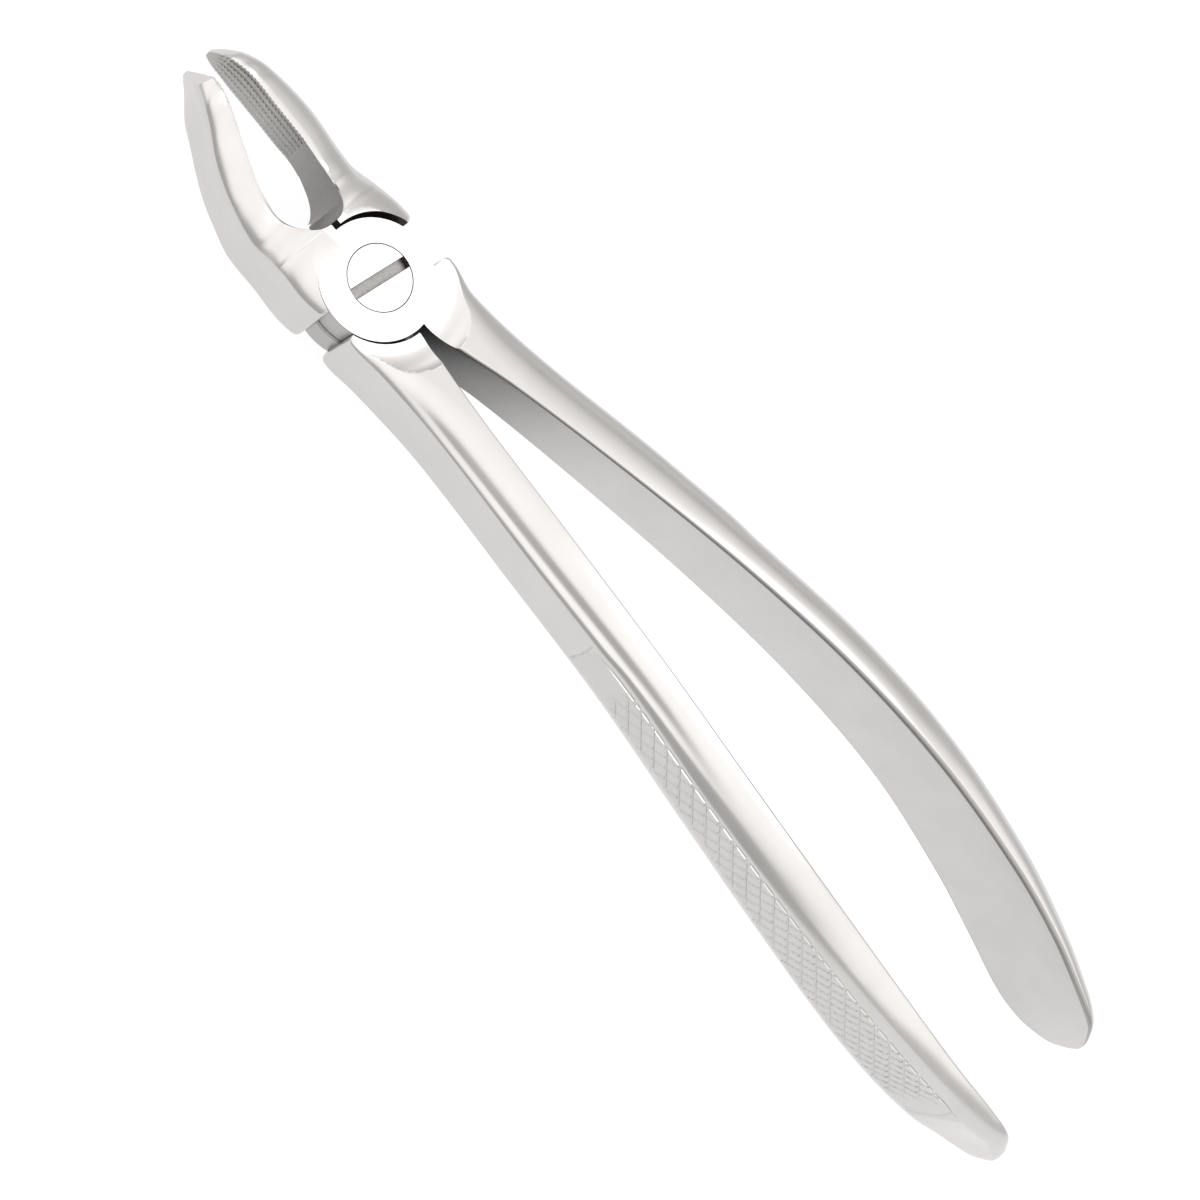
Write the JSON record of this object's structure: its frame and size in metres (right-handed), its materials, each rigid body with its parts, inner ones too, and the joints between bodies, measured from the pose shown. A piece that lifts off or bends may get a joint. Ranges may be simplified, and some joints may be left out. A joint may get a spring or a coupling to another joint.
{
  "type": "dental extraction forceps",
  "caption": "Steel dental extraction forceps: serrated beaks, a lapped joint on a slotted pivot screw, and long bowed handles with knurled outer panels.",
  "frame": {"origin": "on the pivot axis, at the flat underside of the joint", "axes": "+Z along the pivot axis towards the screw head, +Y towards the jaw tips, +X to the right seen from the screw head side"},
  "size_m": [0.0336, 0.1751, 0.0266],
  "materials": {
    "upper_half_steel": "satin polished stainless steel",
    "lower_half_steel": "satin polished stainless steel",
    "screw_steel": "polished stainless steel"
  },
  "bodies": {
    "lower_body": {"lower_half": "lower_half_steel", "pivot_screw": "screw_steel"},
    "upper_body": {"upper_half": "upper_half_steel"}
  },
  "joints": [
    {"name": "pivot", "type": "hinge", "parent": "lower_body", "child": "upper_body", "pos_m": [0, 0, 0.0042], "axis": [0, 0, 1], "range_deg": [-5, 21]}
  ]
}
